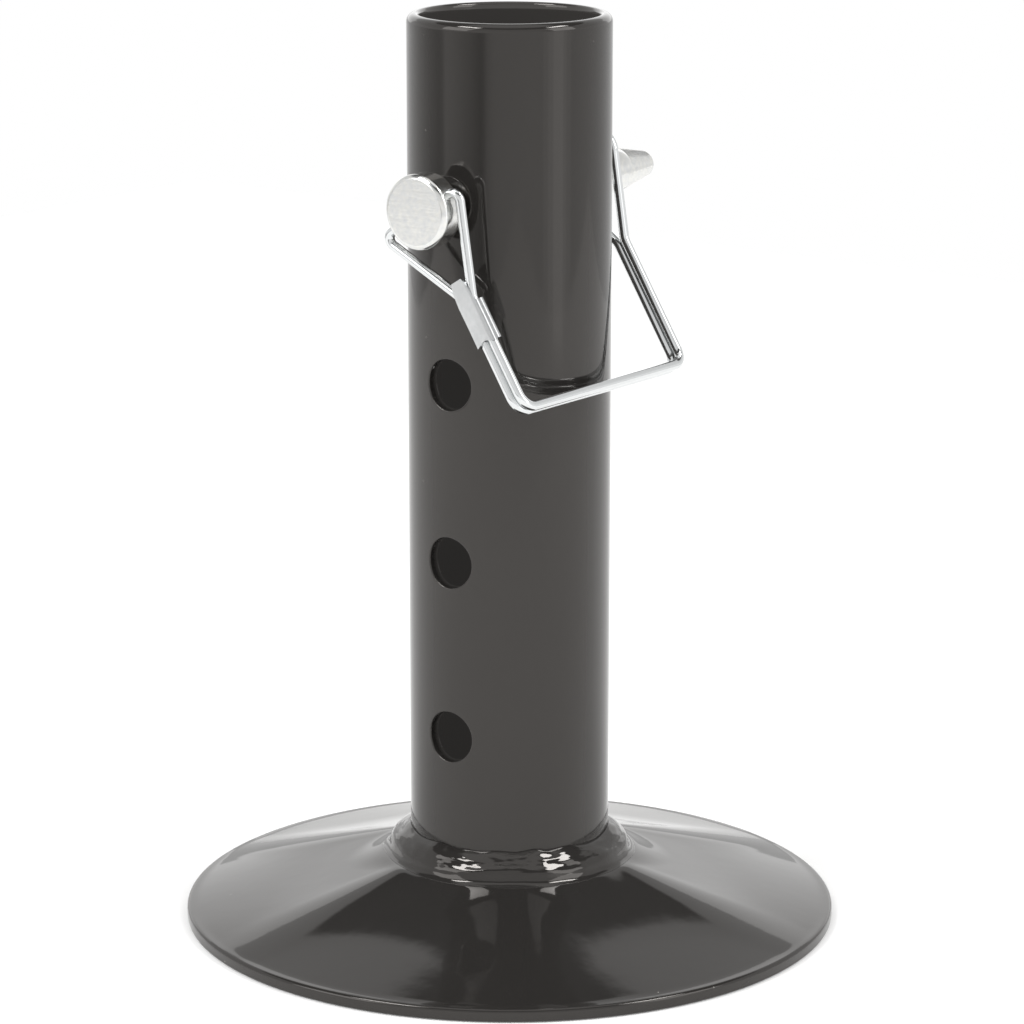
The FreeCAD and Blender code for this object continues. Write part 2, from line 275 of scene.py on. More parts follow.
# Bright zinc over steel: fine drawn lines along one axis, with faint cloudy patches.
def makeZincGroup():
    tree, start, end = newGroup(
        "zincPlate",
        [("Line Stretch", "NodeSocketVector", (1.0, 1.0, 1.0)), ("Base Roughness", "NodeSocketFloat", 0.22),
         ("Cloud", "NodeSocketFloat", 0.5), ("Tarnish", "NodeSocketFloat", 0.0),
         ("Clean Color", "NodeSocketColor", (0.765, 0.76, 0.73, 1))],
        [("Color", "NodeSocketColor"), ("Roughness", "NodeSocketFloat"), ("Height", "NodeSocketFloat")])
    place = node(tree, "ShaderNodeTexCoord").outputs["Object"]
    stretched = node(tree, "ShaderNodeVectorMath", operation="MULTIPLY")
    link(tree, place, stretched.inputs[0])
    link(tree, start.outputs["Line Stretch"], stretched.inputs[1])
    lines = noiseAt(tree, stretched.outputs[0], zinc["lineSize"], zinc["lineDetail"], zinc["noiseRoughness"])
    cloud = noiseAt(tree, place, zinc["cloudSize"], zinc["cloudDetail"], zinc["noiseRoughness"])
    patch = ramp(tree, cloud, zinc["patchLow"], zinc["patchHigh"])
    patch = mathNode(tree, "MULTIPLY", patch, start.outputs["Cloud"])
    clean = mixColour(tree, patch, start.outputs["Clean Color"], zinc["patchColour"])
    tarnished = mixColour(tree, start.outputs["Tarnish"], clean, zinc["tarnishColour"])
    link(tree, tarnished, end.inputs["Color"])
    lineRough = mathNode(tree, "MULTIPLY", lines, zinc["lineRoughness"])
    rough = mathNode(tree, "ADD", start.outputs["Base Roughness"], lineRough)
    patchRough = mathNode(tree, "MULTIPLY", patch, zinc["patchRoughness"])
    rough = mathNode(tree, "ADD", rough, patchRough, clamp=True)
    link(tree, rough, end.inputs["Roughness"])
    cloudHeight = mathNode(tree, "MULTIPLY", cloud, zinc["cloudHeight"])
    link(tree, mathNode(tree, "ADD", lines, cloudHeight), end.inputs["Height"])
    return tree


# Values go to the group's inputs, and shader values to the Principled shader's own sockets.
def groupMaterial(name, group, values, bumpHeight, **shader):
    made = bpy.data.materials.new(name)
    made.use_nodes = True
    tree = made.node_tree
    principled = tree.nodes["Principled BSDF"]
    for key, value in shader.items():
        principled.inputs[key.replace("_", " ")].default_value = value
    used = tree.nodes.new("ShaderNodeGroup")
    used.node_tree = group
    for key, value in values.items():
        used.inputs[key].default_value = value
    link(tree, used.outputs["Color"], principled.inputs["Base Color"])
    link(tree, used.outputs["Roughness"], principled.inputs["Roughness"])
    # Only a material given an Emission_Strength gets the painted glow inside the bore.
    if "Emission_Strength" in shader:
        link(tree, used.outputs["Painted Bore Glow"], principled.inputs["Emission Color"])
    bump = tree.nodes.new("ShaderNodeBump")
    bump.inputs["Distance"].default_value = bumpHeight * mm
    link(tree, used.outputs["Height"], bump.inputs["Height"])
    link(tree, bump.outputs["Normal"], principled.inputs["Normal"])
    return made


glossTint = dict(Specular_Tint=(1.0, 0.955, 0.915, 1))
coatGroup = makeCoatGroup()
zincGroup = makeZincGroup()
# The tube's coat carries the painted glow inside its bore.
tubeCoat = groupMaterial(
    "tubeCoat", coatGroup, {"Peel Size": 300.0, "Dust": 0.35}, 0.010, Emission_Strength=1.0, **glossTint)
plateCoat = groupMaterial(
    "plateCoat", coatGroup, {"Peel Size": 260.0, "Dust": 0.7}, 0.030, **glossTint)
weldCoat = groupMaterial(
    "weldCoat", coatGroup, {"Peel Size": 900.0, "Dust": 0.3}, 0.022, **glossTint)
pinZinc = groupMaterial(
    "pinZinc", zincGroup,
    {"Line Stretch": (1.0, 0.12, 1.0), "Base Roughness": 0.10, "Cloud": 0.7},
    0.010, Metallic=1.0)
wireZinc = groupMaterial(
    "wireZinc", zincGroup,
    {"Line Stretch": (1.0, 1.0, 1.0), "Base Roughness": 0.05, "Cloud": 0.3,
     "Clean Color": (0.715, 0.728, 0.73, 1)},
    0.003, Metallic=1.0)
ferruleZinc = groupMaterial(
    "ferruleZinc", zincGroup,
    {"Line Stretch": (1.0, 1.0, 0.2), "Base Roughness": 0.12, "Tarnish": 0.45,
     "Clean Color": (0.74, 0.75, 0.75, 1)},
    0.004, Metallic=1.0)
print("materials made")

tube = dict(
    radius=28.575, wall=3.5, bottom=18.5, top=260.2,
    lip=2.35, innerLip=1.1,  # rounding of the top edge, outside and inside
    lipTurns=[12, 24, 36, 48, 60, 70, 80, 90], innerLipTurns=[0, 15, 30, 45, 60, 75],
    holeRadius=7.2, holeHeights=[58.3, 109.1, 159.9, 210.7],
    holeRounding=0.45, roundingSteps=5,
    patch=10.0,  # half the width of the fine square round each hole
    patchShares=[0.25, 0.5, 0.72, 0.9, 1.0],  # rings from the square's border in to the hole
    patchCells=16, sideCells=50, rowHeight=3, topRows=14,
)


def makeTube():
    verts, faces, grid = [], [], {}
    outer, inner = tube["radius"], tube["radius"] - tube["wall"]
    half = tube["patch"] / outer
    cells = tube["patchCells"]
    angles, patchStarts = [], []
    for side in (0, 1):
        patchStarts.append(len(angles))
        angles += [side * math.pi - half + 2 * half * i / cells for i in range(cells)]
        span = math.pi - 2 * half
        angles += [side * math.pi + half + span * i / tube["sideCells"] for i in range(tube["sideCells"])]

    heights, patchRows = [tube["bottom"]], []
    for z in tube["holeHeights"]:
        low = z - tube["patch"]
        steps = max(2, round((low - heights[-1]) / tube["rowHeight"]))
        first = heights[-1]
        heights += [first + (low - first) * (i + 1) / steps for i in range(steps)]
        patchRows.append(len(heights) - 1)
        heights += [low + 2 * tube["patch"] * (i + 1) / cells for i in range(cells)]
    first, last, topRows = heights[-1], tube["top"] - tube["lip"], tube["topRows"]
    heights += [first + (last - first) * (i + 1) / topRows for i in range(topRows)]

    columns, rows = len(angles), len(heights)
    for wall, radius in enumerate((outer, inner)):
        for row, z in enumerate(heights):
            for column, spot in enumerate(circle(radius, z, angles)):
                grid[wall, row, column] = len(verts)
                verts.append(spot)
    inPatch = set()
    for start in patchStarts:
        for row in patchRows:
            inPatch.update((row + i, start + j) for i in range(cells) for j in range(cells))
    for wall in (0, 1):
        for row in range(rows - 1):
            for column in range(columns):
                if (row, column) in inPatch:
                    continue
                after = (column + 1) % columns
                faces.append((grid[wall, row, column], grid[wall, row, after],
                              grid[wall, row + 1, after], grid[wall, row + 1, column]))
    for sign, start in zip((1, -1), patchStarts):
        for row, z in zip(patchRows, tube["holeHeights"]):
            border = ([(row, start + i) for i in range(cells)]
                      + [(row + i, start + cells) for i in range(cells)]
                      + [(row + cells, start + cells - i) for i in range(cells)]
                      + [(row + cells - i, start) for i in range(cells)])
            border = [(r, c % columns) for r, c in border]
            makeHole(verts, faces, grid, border, sign, z)

    lipRings = [[grid[0, rows - 1, c] for c in range(columns)]]
    top, lip, innerLip = tube["top"], tube["lip"], tube["innerLip"]
    profile = [(outer - lip + lip * math.cos(math.radians(a)), top - lip + lip * math.sin(math.radians(a)))
               for a in tube["lipTurns"]]
    profile += [(inner + innerLip - innerLip * math.sin(math.radians(a)),
                 top - innerLip + innerLip * math.cos(math.radians(a))) for a in tube["innerLipTurns"]]
    for radius, z in profile:
        addRing(verts, lipRings, circle(radius, z, angles))
    lipRings.append([grid[1, rows - 1, c] for c in range(columns)])
    joinRings(lipRings, faces)
    joinRings([[grid[0, 0, c] for c in range(columns)], [grid[1, 0, c] for c in range(columns)]], faces)
    piece = addPiece("legTube", verts, faces, tubeCoat, "leg", sharpAngle=50)
    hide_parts("leg_tube")


# One round hole through the wall, joined to the border of its fine square on both faces of the wall.
def makeHole(verts, faces, grid, border, sign, z):
    outer, inner = tube["radius"], tube["radius"] - tube["wall"]
    edge, steps = tube["holeRounding"], tube["roundingSteps"]
    throats = []
    for wall, radius in enumerate((outer, inner)):
        spots = [verts[grid[wall, r, c]] for r, c in border]
        turns = [math.atan2(p[2] - z, p[1] * sign * outer / radius) for p in spots]
        rings = [[grid[wall, r, c] for r, c in border]]
        for share in tube["patchShares"]:
            ring = []
            for p, turn in zip(spots, turns):
                reach = tube["holeRadius"] + edge
                y = sign * p[1] * (1 - share) + reach * math.cos(turn) * share
                height = p[2] * (1 - share) + (z + reach * math.sin(turn)) * share
                ring.append((sign * math.sqrt(radius ** 2 - y * y), sign * y, height))
            addRing(verts, rings, ring)
        for step in range(1, steps + 1):
            roll = math.radians(90 * step / steps)
            reach = tube["holeRadius"] + edge * (1 - math.sin(roll))
            sink = edge * (1 - math.cos(roll)) * (1 if wall == 0 else -1)
            ring = []
            for turn in turns:
                y = reach * math.cos(turn)
                x = math.sqrt(radius ** 2 - y * y) - sink
                ring.append((sign * x, sign * y, z + reach * math.sin(turn)))
            addRing(verts, rings, ring)
        joinRings(rings, faces)
        throats.append(rings[-1])
    joinRings(throats, faces)


plate = dict(
    radius=93.6, thickness=3.5,
    ridges=6, ridgeAngle=39.2,  # how many ridges, and the direction of the first in degrees
    rounding=0.25,  # the crease's corner rounding, as a share of the corner's distance out
    dish=91.5, crease=70.0,  # where the facets end at the flat rim, and where they fold
    hubRadius=35.975, hubHeight=18.5, hubFoot=44.0,
    creaseReach=0.7, footReach=0.35, hubReach=0.5,  # how widely neighbouring faces blend
    rim=1.1, rimUnder=0.5, drain=16.0, drainEdge=0.4,
    hubRingsEnd=27.5, hubRings=4, slopeRingsStart=28.5, slopeRings=84,
    slopeStep=0.2, around=480,
)


# Distance out to a six-sided outline with rounded corners, at an angle from its corner.
def outlineRadius(corner, angle):
    half = math.pi / plate["ridges"]
    rounding = plate["rounding"] * corner
    centre = corner - rounding / math.cos(half)
    if angle < math.atan2(rounding * math.sin(half), centre + rounding * math.cos(half)):
        return centre * math.cos(angle) + math.sqrt(rounding ** 2 - (centre * math.sin(angle)) ** 2)
    return corner * math.cos(half) / math.cos(half - angle)


# The top's height: hub, a short cone, then two sets of flat facets down to the rim.
def plateHeight(r, angle):
    half = math.pi / plate["ridges"]
    sideShare = math.cos(half)
    ridgeShare = 1 - plate["rounding"] * (1 / sideShare - 1)
    turn = (angle - math.radians(plate["ridgeAngle"])) % (2 * half)
    turn = min(turn, 2 * half - turn)
    hub, low, dish = plate["hubHeight"], plate["thickness"], plate["dish"]
    ridgeSlope = (hub - low) / (dish - plate["hubRadius"])
    creaseHeight = low + (dish - plate["crease"] * ridgeShare) * ridgeSlope
    topCorner = plate["hubRadius"] / ridgeShare
    topAt, creaseAt = outlineRadius(topCorner, turn), outlineRadius(plate["crease"], turn)
    upper = hub - (r - topAt) * (hub - creaseHeight) / (creaseAt - topAt)
    lower = creaseHeight - (r - creaseAt) * (creaseHeight - low) / (dish - creaseAt)
    upperSlope = (hub - creaseHeight) / ((plate["crease"] - topCorner) * sideShare)
    coneReach = plate["hubFoot"] - plate["hubRadius"]
    coneSlope = (plate["hubFoot"] - topCorner * sideShare) * upperSlope / coneReach
    cone = hub - coneSlope * (r - plate["hubRadius"])
    form = softMax(softMax(upper, lower, plate["creaseReach"]), cone, plate["hubReach"])
    return softMin(softMax(form, low, plate["footReach"]), hub, plate["hubReach"])


def makePlate():
    verts, faces, rings = [], [], []
    rim, rimUnder, outer, drain = plate["rim"], plate["rimUnder"], plate["radius"], plate["drain"]
    thickness, edge, step = plate["thickness"], plate["drainEdge"], plate["slopeStep"]
    angles = anglesRound(plate["around"])
    hubRings, hubEnd = plate["hubRings"], plate["hubRingsEnd"]
    slopeRings, slopeStart = plate["slopeRings"], plate["slopeRingsStart"]
    radii = [drain + edge + i * (hubEnd - drain) / hubRings for i in range(hubRings)]
    radii += [slopeStart + i * (outer - rim - slopeStart) / slopeRings for i in range(slopeRings + 1)]
    tops, unders = [], []
    for r in radii:
        top, under = [], []
        for angle in angles:
            z = plateHeight(r, angle)
            slopeOut = (plateHeight(r + step, angle) - plateHeight(r - step, angle)) / (2 * step)
            slopeRound = (plateHeight(r, angle + step / r) - plateHeight(r, angle - step / r)) / (2 * step)
            outward = Vector((math.cos(angle), math.sin(angle), 0))
            sideways = Vector((-math.sin(angle), math.cos(angle), 0))
            normal = (Vector((0, 0, 1)) - outward * slopeOut - sideways * slopeRound).normalized()
            spot = outward * r + Vector((0, 0, z))
            top.append(spot)
            under.append(spot - normal * thickness)
        tops.append(top)
        unders.append(under)
    rimProfile = (arc(outer - rim, thickness - rim, rim, 80, 0, 8)
                  + arc(outer - rimUnder, rimUnder, rimUnder, 0, -75, 4))
    low = plate["hubHeight"] - thickness
    drainProfile = (arc(drain + edge, low + edge, edge, 255, 180, 3)
                    + arc(drain + edge, plate["hubHeight"] - edge, edge, 180, 105, 3))
    rimRings = [circle(x, z, angles) for x, z in rimProfile]
    drainRings = [circle(x, z, angles) for x, z in drainProfile]
    for ring in tops + rimRings + unders[::-1] + drainRings:
        addRing(verts, rings, ring)
    joinRings(rings, faces, across=True)
    piece = addPiece("footPlate", verts, faces, plateCoat, "leg")
    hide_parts("foot_plate")


# Each lump is its height, how many go round, its seed, and how far it drifts across the bead.
weld = dict(
    toeOnTube=25.9, toeOnPlate=35.8, toeInset=0.4, crown=1.25,
    bulge=(0.72, 0, 0.69),  # the way the bead swells, out and up
    fullness=0.65,
    topLumps=[(1.0, 1.6, 0.3, 0), (0.6, 4.0, 7.1, 0)],
    footLumps=[(0.8, 1.5, 2.3, 0), (0.6, 3.5, 9.4, 0)],
    crownLumps=[(0.5, 1.8, 4.1, 0.9), (0.10, 4.0, 1.7, 3.0)],
    grainLumps=[(0.15, 5.5, 3.3, 5.0), (0.05, 13.0, 6.1, 12.0)],
    ripples=1.8, rippleHeight=0.10, rippleShift=[(4, 1.7, 5.0, 0)], rippleLumps=[(0.05, 3.0, 8.8, 9.0)],
    toeStart=0.72, toeReach=1.0,
    intoTube=0.05, overHub=0.02, overPlate=0.03,  # small laps over its neighbours
    backIn=0.4, backDown=0.3,
    around=540, across=40,
)


def lumpy(base, lumps, angle, share=0.0):
    for height, size, seed, drift in lumps:
        spot = Vector((math.cos(angle) * size, math.sin(angle) * size, seed + share * drift))
        base += height * noise.noise(spot)
    return base


# A lumpy bead under thick gloss: slow swells, smaller lumps and low ripples, run out over the hub.
def makeWeld():
    verts, faces, rings = [], [], []
    tubeRadius, hub, across, full = tube["radius"], plate["hubHeight"], weld["across"], weld["fullness"]
    for angle in anglesRound(weld["around"]):
        top = lumpy(weld["toeOnTube"], weld["topLumps"], angle)
        foot = lumpy(weld["toeOnPlate"] - weld["toeInset"], weld["footLumps"], angle)
        shift = lumpy(0, weld["rippleShift"], angle)
        ring = []
        for k in range(across + 1):
            share = k / across
            line = Vector((tubeRadius - weld["intoTube"] + (foot - tubeRadius) * share, 0,
                           top + (hub + weld["overHub"] - top) * share))
            swell = math.sin(math.pi * share) ** (full + full * share)
            ripple = weld["rippleHeight"] * math.sin(2 * math.pi * weld["ripples"] * share + shift)
            ripple = lumpy(ripple, weld["rippleLumps"], angle, share)
            out = lumpy(weld["crown"], weld["crownLumps"], angle, share)
            grain = lumpy(0, weld["grainLumps"], angle, share)
            spot = line + Vector(weld["bulge"]) * (out + ripple + grain) * swell
            toe = smoothStep(weld["toeStart"], 1, share)
            spot.x += weld["toeReach"] * toe * toe
            spot.z += (plateHeight(spot.x, angle) + weld["overPlate"] - spot.z) * toe
            ring.append((spot.x * math.cos(angle), spot.x * math.sin(angle), spot.z))
        outward = Vector((math.cos(angle), math.sin(angle), 0))
        ring.append((tubeRadius - weld["backIn"]) * outward + Vector((0, 0, hub - weld["backDown"])))
        addRing(verts, rings, ring)
    joinRings(rings, faces, across=True)
    piece = addPiece("footWeld", verts, faces, weldCoat, "leg")
    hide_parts("foot_weld")


makeTube()
makePlate()
makeWeld()
print("tube, plate and weld made")

pin = dict(
    front=-43.075, back=-35.975, headRadius=10.4, chamfer=1.05,
    faceRings=[0.4, 2.0, 4.0, 6.0, 8.0, 9.0], headRings=10, headEdge=0.4, seatRing=8.5,
    soft=0.25,  # length of the soft run from the chamfer into the head's side
    radius=6.35, fillet=0.5, shankRing=2.5,
    taperStart=50.675, tipEnd=65.575, tipRadius=3.7, tipRounding=0.8, tipSwell=0.12,
    crossHole=-38.875,
    ringPitch=0.85, ringDepth=0.12, taperSteps=150,  # turning marks on the taper
    around=160,
)


def makePin():
    front, back, head, edge = pin["front"], pin["back"], pin["headRadius"], pin["chamfer"]
    shank, taper, soft, headEdge = pin["radius"], pin["taperStart"], pin["soft"], pin["headEdge"]
    profile = [(front, r) for r in pin["faceRings"] + [head - edge - 0.15]]
    profile += [(front + 0.05, head - edge), (front + edge * 0.5, head - edge * 0.35),
                (front + edge, head - 0.03), (front + edge + soft, head)]
    count = pin["headRings"]
    profile += [(front + edge + soft + (back - headEdge - front - edge - soft) * i / count, head)
                for i in range(1, count + 1)]
    profile += [(back - 0.1, head - 0.1), (back, head - headEdge), (back, pin["seatRing"]),
                (back, shank + pin["fillet"]), (back + 0.15, shank + 0.15), (back + pin["fillet"], shank)]
    x = back + 1.5
    while x < taper - 0.5:
        profile.append((x, shank))
        x += pin["shankRing"]
    lead, steps = pin["tipEnd"] - pin["tipRounding"], pin["taperSteps"]
    for i in range(steps + 1):
        x = taper + (lead - taper) * i / steps
        slim = shank + (pin["tipRadius"] + pin["tipSwell"] - shank) * (i / steps)
        slim -= pin["ringDepth"] * (0.5 - 0.5 * math.cos(2 * math.pi * (x - taper) / pin["ringPitch"]))
        profile.append((x, slim))
    r = pin["tipRounding"]
    profile += arc(lead, pin["tipRadius"] - r + 0.05, r, 75, 0, 6)
    profile += [(pin["tipEnd"], 1.5), (pin["tipEnd"], 0.3)]
    verts, faces, rings = [], [], []
    angles = anglesRound(pin["around"])
    for x, radius in profile:
        addRing(verts, rings, [(x, radius * math.cos(a), radius * math.sin(a)) for a in angles])
    joinRings(rings, faces)
    closeEnds(rings, faces)
    piece = addPiece("lockPin", verts, faces, pinZinc, "lock_pin",
                     sharpAngle=35, place=bailFrame)
    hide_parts("lock_pin")


bend = dict(
    innerEnd=4.4, frontSpread=14.0, backSpread=16.7,  # the bent ends in the head, out from its middle
    nearSplit=26.9, nearBend=4.0, endBend=2.3,
    seam=24.0,  # where the bar passes from the wire to the loop
    farSplit=21.2, farBend=6.0, loopSlope=22.8, loopTop=12.0, loopBend=7.0,
    blendBelow=1, blendAbove=30,  # how far down and up from the cut the loop's leg bends
    runStep=1.0, turnStep=5, fewestTurns=6, sides=24,  # how finely the wire is divided
)


# A line through the corners, each rounded to its own radius.
def roundedRoute(corners, radii):
    corners = [Vector(c) for c in corners]
    route = [corners[0]]

    def runTo(target):
        start = route[-1]
        runs = max(1, int((target - start).length / bend["runStep"]))
        route.extend([start.lerp(target, (k + 1) / runs) for k in range(runs)])

    for i, radius in enumerate(radii):
        corner = corners[i + 1]
        before = (corner - corners[i]).normalized()
        after = (corners[i + 2] - corner).normalized()
        turn = before.angle(after)
        first = corner - before * (radius * math.tan(turn / 2))
        runTo(first)
        middle = corner + (after - before).normalized() * (radius / math.cos(turn / 2))
        spin = (first - middle).normalized()
        turns = max(bend["fewestTurns"], int(math.degrees(turn) / bend["turnStep"]))
        for k in range(1, turns + 1):
            angle = turn * k / turns
            route.append(middle + (spin * math.cos(angle) + before * math.sin(angle)) * radius)
    runTo(corners[-1])
    return route


def sweepWire(route, radius, verts, faces):
    spine = []
    for i, spot in enumerate(route):
        ahead = route[min(i + 1, len(route) - 1)]
        behind = route[max(i - 1, 0)]
        spine.append((spot, (ahead - behind).normalized()))
    side = spine[0][1].orthogonal().normalized()
    rings = []
    for spot, heading in spine:
        side = (side - heading * side.dot(heading)).normalized()
        other = heading.cross(side)
        addRing(verts, rings, [spot + (side * math.cos(angle) + other * math.sin(angle)) * radius
                               for angle in anglesRound(bend["sides"])])
    joinRings(rings, faces)
    closeEnds(rings, faces)


def makeBail():
    near, far, drop, strand = bail["nearLeg"], bail["farLeg"], bail["drop"], bail["strand"]
    verts, faces = [], []
    cross = pin["crossHole"]
    for side, spread in ((1, bend["backSpread"]), (-1, bend["frontSpread"])):
        corners = [(cross, side * bend["innerEnd"], 0), (cross, side * spread, 0),
                   (near, side * strand, -bend["nearSplit"]), (near, side * strand, -drop),
                   (bend["seam"], side * strand, -drop)]
        route = roundedRoute(corners, [bend["endBend"], bend["nearBend"], bail["corner"]])
        sweepWire(route, bail["wire"], verts, faces)
    piece = addPiece("bailWire", verts, faces, wireZinc, "bail", sharpAngle=60, place=bailFrame)
    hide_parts("bail_wire")

    top = bend["loopTop"]
    spread = strand + (top + bend["farSplit"]) * math.tan(math.radians(bend["loopSlope"]))
    corners = [(bend["seam"], strand, -drop), (far, strand, -drop), (far, strand, -bend["farSplit"]),
               (far, spread, top), (far, -spread, top), (far, -strand, -bend["farSplit"]),
               (far, -strand, -drop), (bend["seam"], -strand, -drop)]
    radii = [bail["corner"], bend["farBend"], bend["loopBend"]]
    radii += reversed(radii)
    verts, faces = [], []
    sweepWire(roundedRoute(corners, radii), bail["wire"], verts, faces)
    piece = addPiece("bailLoop", verts, faces, wireZinc, sharpAngle=60, place=bailFrame)
    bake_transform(piece)
    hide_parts("bail_loop")


ferrule = dict(
    sheet=0.7, halfX=2.13, halfY=3.56, corner=1.05, top=28.2, bottom=40.2, rows=22,
    seam=[(0.10, 0.62), (0.16, 0.30), (0.36, 0.07), (0.70, 0.0)],  # one curled-in edge, out and in
    seamEdge=0.55,  # the sheet's cut edges are this much thinner
    tongueTop=21.4, tongueDepth=0.9, tongueSides=(1.02, 0.66),
    trim=0.3, scallop=0.55, scallopAtSeam=0.4,
    pinch=0.035, pinchStart=29, pinchLength=11,
)


def makeFerrule():
    halfSheet = ferrule["sheet"] / 2
    x, y = ferrule["halfX"] - halfSheet, ferrule["halfY"] - halfSheet
    r = ferrule["corner"] - halfSheet
    middle = [(out, -y + rise) for out, rise in ferrule["seam"]]
    middle += arc(x - r, -y + r, r, -90, 0, 6)
    middle += [(x, -y + r + (2 * y - 2 * r) * i / 8) for i in range(1, 8)]
    middle += arc(x - r, y - r, r, 0, 90, 6)
    middle += [(x - r - (2 * x - 2 * r) * i / 5, y) for i in range(1, 5)]
    middle += arc(-x + r, y - r, r, 90, 180, 6)
    middle += [(-x, y - r - (2 * y - 2 * r) * i / 8) for i in range(1, 8)]
    middle += arc(-x + r, -y + r, r, 180, 270, 6)
    middle += [(-out, -y + rise) for out, rise in reversed(ferrule["seam"])]
    outside, inside = [], []
    for i, (px, py) in enumerate(middle):
        ahead, behind = middle[min(i + 1, len(middle) - 1)], middle[max(i - 1, 0)]
        along = Vector((ahead[0] - behind[0], ahead[1] - behind[1])).normalized()
        outward = Vector((along.y, -along.x))
        thin = ferrule["seamEdge"] if i in (0, len(middle) - 1) else 1.0
        outside.append(Vector((px, py)) + outward * halfSheet * thin)
        inside.append(Vector((px, py)) - outward * halfSheet * thin)

    verts, faces, rings = [], [], []
    count, rows = len(middle), ferrule["rows"]
    wide, narrow = ferrule["tongueSides"]
    loop = [(i, outside[i]) for i in range(count)] + [(i, inside[i]) for i in range(count - 1, -1, -1)]
    for row in range(rows + 1):
        share = row / rows
        ring = []
        for i, spot in loop:
            px, py = middle[i]
            tongue = smoothStep(-ferrule["tongueDepth"] * x, -x, px)
            rise = (ferrule["tongueTop"] - ferrule["top"]) * tongue
            top = ferrule["top"] + rise * smoothStep(y * wide, y * narrow, abs(py))
            depth = ferrule["scallop"] * math.cos(math.pi * py / y)
            scallop = depth * (1 if px < 0 else ferrule["scallopAtSeam"])
            bottom = ferrule["bottom"] - ferrule["trim"] - scallop
            s = bottom + (top - bottom) * share
            along = min(max((s - ferrule["pinchStart"]) / ferrule["pinchLength"], 0), 1)
            pinch = 1 - ferrule["pinch"] * math.sin(math.pi * along) * abs(py) / y
            ring.append((bail["nearLeg"] + spot.x * pinch, spot.y, -s))
        addRing(verts, rings, ring)
    joinRings(rings, faces)
    for ring in (rings[0], rings[-1]):
        for i in range(count - 1):
            faces.append((ring[i], ring[i + 1], ring[2 * count - 2 - i], ring[2 * count - 1 - i]))
    piece = addPiece("crimpFerrule", verts, faces, ferruleZinc, "bail",
                     sharpAngle=40, place=bailFrame)
    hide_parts("crimp_ferrule")


makePin()
makeBail()
makeFerrule()
print("pin, bail and ferrule made")

# The floor's size is in metres.
studio = dict(floor=0.95, floorDrop=0.2, floorGrey=0.80, floorGlow=0.17, worldLight=0.75, aimHeight=0.12)
# How bright the surroundings mirror in the gloss, by height above the horizon in degrees.
ceiling = [(0, 1.0), (8, 1.0), (18, 0.86), (30, 0.8), (42, 0.76), (44, 0.08), (62, 0.08), (68, 1.0),
           (90, 1.0)]
# The same beyond the paper's edge, by direction in degrees round from the part's X axis.
beyond = [(0, 0.92), (85, 0.9), (99, 0.8), (111, 0.66), (131, 0.42), (136, 0.5), (141, 0.9), (149, 0.88),
          (157, 0.78), (170, 0.58), (178, 0.42), (185, 0.28), (188, 0.4), (192, 0.72), (200, 0.92),
          (240, 1.0), (285, 1.0), (292, 0.95), (360, 0.92)]


# Shows one shader to camera, glossy and see-through rays, and the other to the rays that light the part.
def splitBySight(tree, unseen, seen):
    path = tree.nodes.new("ShaderNodeLightPath")
    sight = mathNode(tree, "MAXIMUM", path.outputs["Is Camera Ray"], path.outputs["Is Glossy Ray"])
    sight = mathNode(tree, "MAXIMUM", sight, path.outputs["Is Transmission Ray"])
    mix = tree.nodes.new("ShaderNodeMixShader")
    link(tree, sight, mix.inputs[0])
    link(tree, unseen.outputs[0], mix.inputs[1])
    link(tree, seen.outputs[0], mix.inputs[2])
    return mix.outputs[0]


def greyRamp(tree, value, stops, low, high):
    made = tree.nodes.new("ShaderNodeValToRGB")
    while len(made.color_ramp.elements) < len(stops):
        made.color_ramp.elements.new(0.5)
    for element, (place, grey) in zip(made.color_ramp.elements, stops):
        element.position = (place - low) / (high - low)
        element.color = (grey, grey, grey, 1)
    link(tree, value, made.inputs[0])
    return made.outputs[0]


def makeWorld():
    world = bpy.data.worlds.new("studio")
    bpy.context.scene.world = world
    world.use_nodes = True
    tree = world.node_tree
    tree.nodes.clear()
    out = tree.nodes.new("ShaderNodeOutputWorld")
    heading = tree.nodes.new("ShaderNodeSeparateXYZ")
    link(tree, tree.nodes.new("ShaderNodeTexCoord").outputs["Generated"], heading.inputs[0])
    height = mathNode(tree, "ARCSINE", heading.outputs["Z"])
    height = mathNode(tree, "MULTIPLY", height, 2 / math.pi, clamp=True)
    above = greyRamp(tree, height, ceiling, 0, 90)
    turn = mathNode(tree, "ARCTAN2", heading.outputs["Y"], heading.outputs["X"])
    share = mathNode(tree, "FRACT", mathNode(tree, "ADD", mathNode(tree, "DIVIDE", turn, 2 * math.pi), 1.0))
    below = greyRamp(tree, share, beyond, 0, 360)
    room = mixColour(tree, mathNode(tree, "GREATER_THAN", heading.outputs["Z"], 0.0), below, above)
    byCamera = tree.nodes.new("ShaderNodeLightPath").outputs["Is Camera Ray"]
    seen = node(tree, "ShaderNodeBackground", Strength=1.0)
    link(tree, mixColour(tree, byCamera, room, (1, 1, 1, 1)), seen.inputs["Color"])
    cast = node(tree, "ShaderNodeBackground", Color=(1, 0.995, 0.985, 1), Strength=studio["worldLight"])
    link(tree, splitBySight(tree, cast, seen), out.inputs[0])


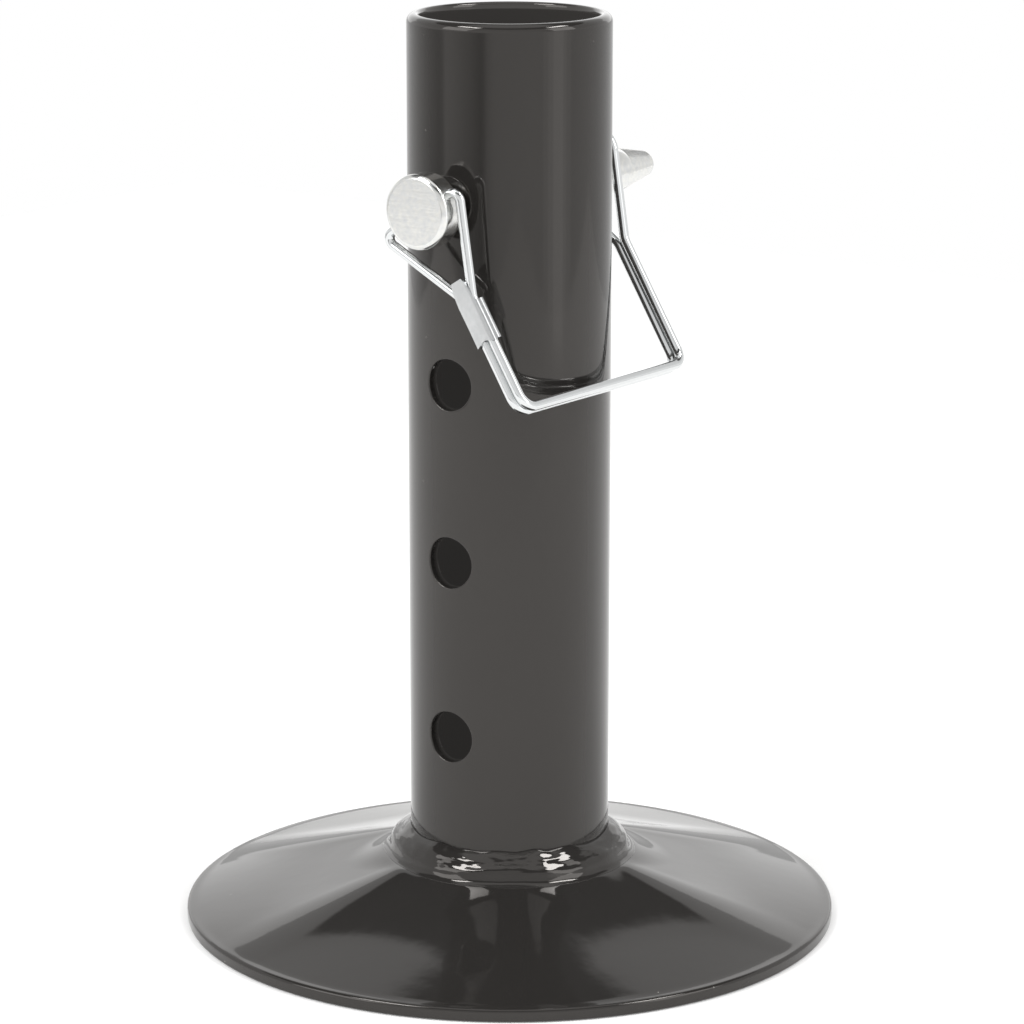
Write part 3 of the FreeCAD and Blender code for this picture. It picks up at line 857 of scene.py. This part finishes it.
def makeFloor():
    mesh = bpy.data.meshes.new("floor")
    size, z = studio["floor"], -studio["floorDrop"] * mm
    corners = [(-size, -size, z), (size, -size, z), (size, size, z), (-size, size, z)]
    mesh.from_pydata(corners, [], [(0, 1, 2, 3)])
    floor = bpy.data.objects.new("floor", mesh)
    bpy.context.scene.collection.objects.link(floor)
    paper = bpy.data.materials.new("paleFloor")
    paper.use_nodes = True
    tree = paper.node_tree
    tree.nodes.clear()
    out = tree.nodes.new("ShaderNodeOutputMaterial")
    matt = node(tree, "ShaderNodeBsdfDiffuse", Color=(studio["floorGrey"],) * 3 + (1,))
    glow = node(tree, "ShaderNodeEmission", Color=(1, 1, 1, 1), Strength=studio["floorGlow"])
    both = tree.nodes.new("ShaderNodeAddShader")
    link(tree, matt.outputs[0], both.inputs[0])
    link(tree, glow.outputs[0], both.inputs[1])
    link(tree, splitBySight(tree, matt, both), out.inputs[0])
    mesh.materials.append(paper)


# Places and sizes are in metres: right, back and up from the object as the camera sees it.
lamps = [
    dict(name="leftSoftbox", place=(-1.25, -0.6, 0.95), size=(0.9, 0.9), power=6.0),
    dict(name="rightSoftbox", place=(1.25, -0.6, 0.95), size=(0.8, 0.9), power=5.0),
    dict(name="backSoftbox", place=(0.0, 2.0, 0.75), size=(3.2, 0.9), power=6.3),
    dict(name="upperLeft", place=(-0.72, -0.34, 1.39), size=(0.55, 0.22), power=6.6),
    dict(name="upperRight", place=(0.79, -0.14, 1.39), size=(0.50, 0.20), power=5.6),
    dict(name="wideStrip", place=(0.772, -0.558, 0.17), size=(0.58, 0.34), power=0.10),
    dict(name="midStrip", place=(0.735, -0.535, 0.17), size=(0.36, 0.34), power=0.075),
    dict(name="narrowStrip", place=(0.698, -0.490, 0.17), size=(0.18, 0.34), power=0.05),
]
lens = dict(
    place=(-0.87953, -0.65678, 0.38992), turn=-53.25, tilt=13.864,
    length=139.77, sensor=36, shift=(0.00234, -0.00273),
)


def makeLamps():
    turned = Matrix.Rotation(math.radians(lens["turn"]), 3, "Z")
    for lamp in lamps:
        light = bpy.data.lights.new(lamp["name"], "AREA")
        light.shape = "RECTANGLE"
        light.size, light.size_y = lamp["size"]
        light.energy = lamp["power"]
        stand = bpy.data.objects.new(lamp["name"], light)
        stand.location = turned @ Vector(lamp["place"])
        aim = Vector((0, 0, studio["aimHeight"])) - stand.location
        stand.rotation_euler = aim.to_track_quat("-Z", "Y").to_euler()
        stand.visible_camera = False
        bpy.context.scene.collection.objects.link(stand)


def makeCamera():
    camera = bpy.data.objects.new("camera", bpy.data.cameras.new("camera"))
    camera.location = lens["place"]
    camera.rotation_euler = (math.radians(90 - lens["tilt"]), 0, math.radians(lens["turn"]))
    camera.data.sensor_width = lens["sensor"]
    camera.data.lens = lens["length"]
    camera.data.shift_x, camera.data.shift_y = lens["shift"]
    bpy.context.scene.collection.objects.link(camera)
    bpy.context.scene.camera = camera


makeWorld()
makeFloor()
makeLamps()
makeCamera()
bpy.context.scene.view_settings.view_transform = "Standard"
print("studio and camera made")
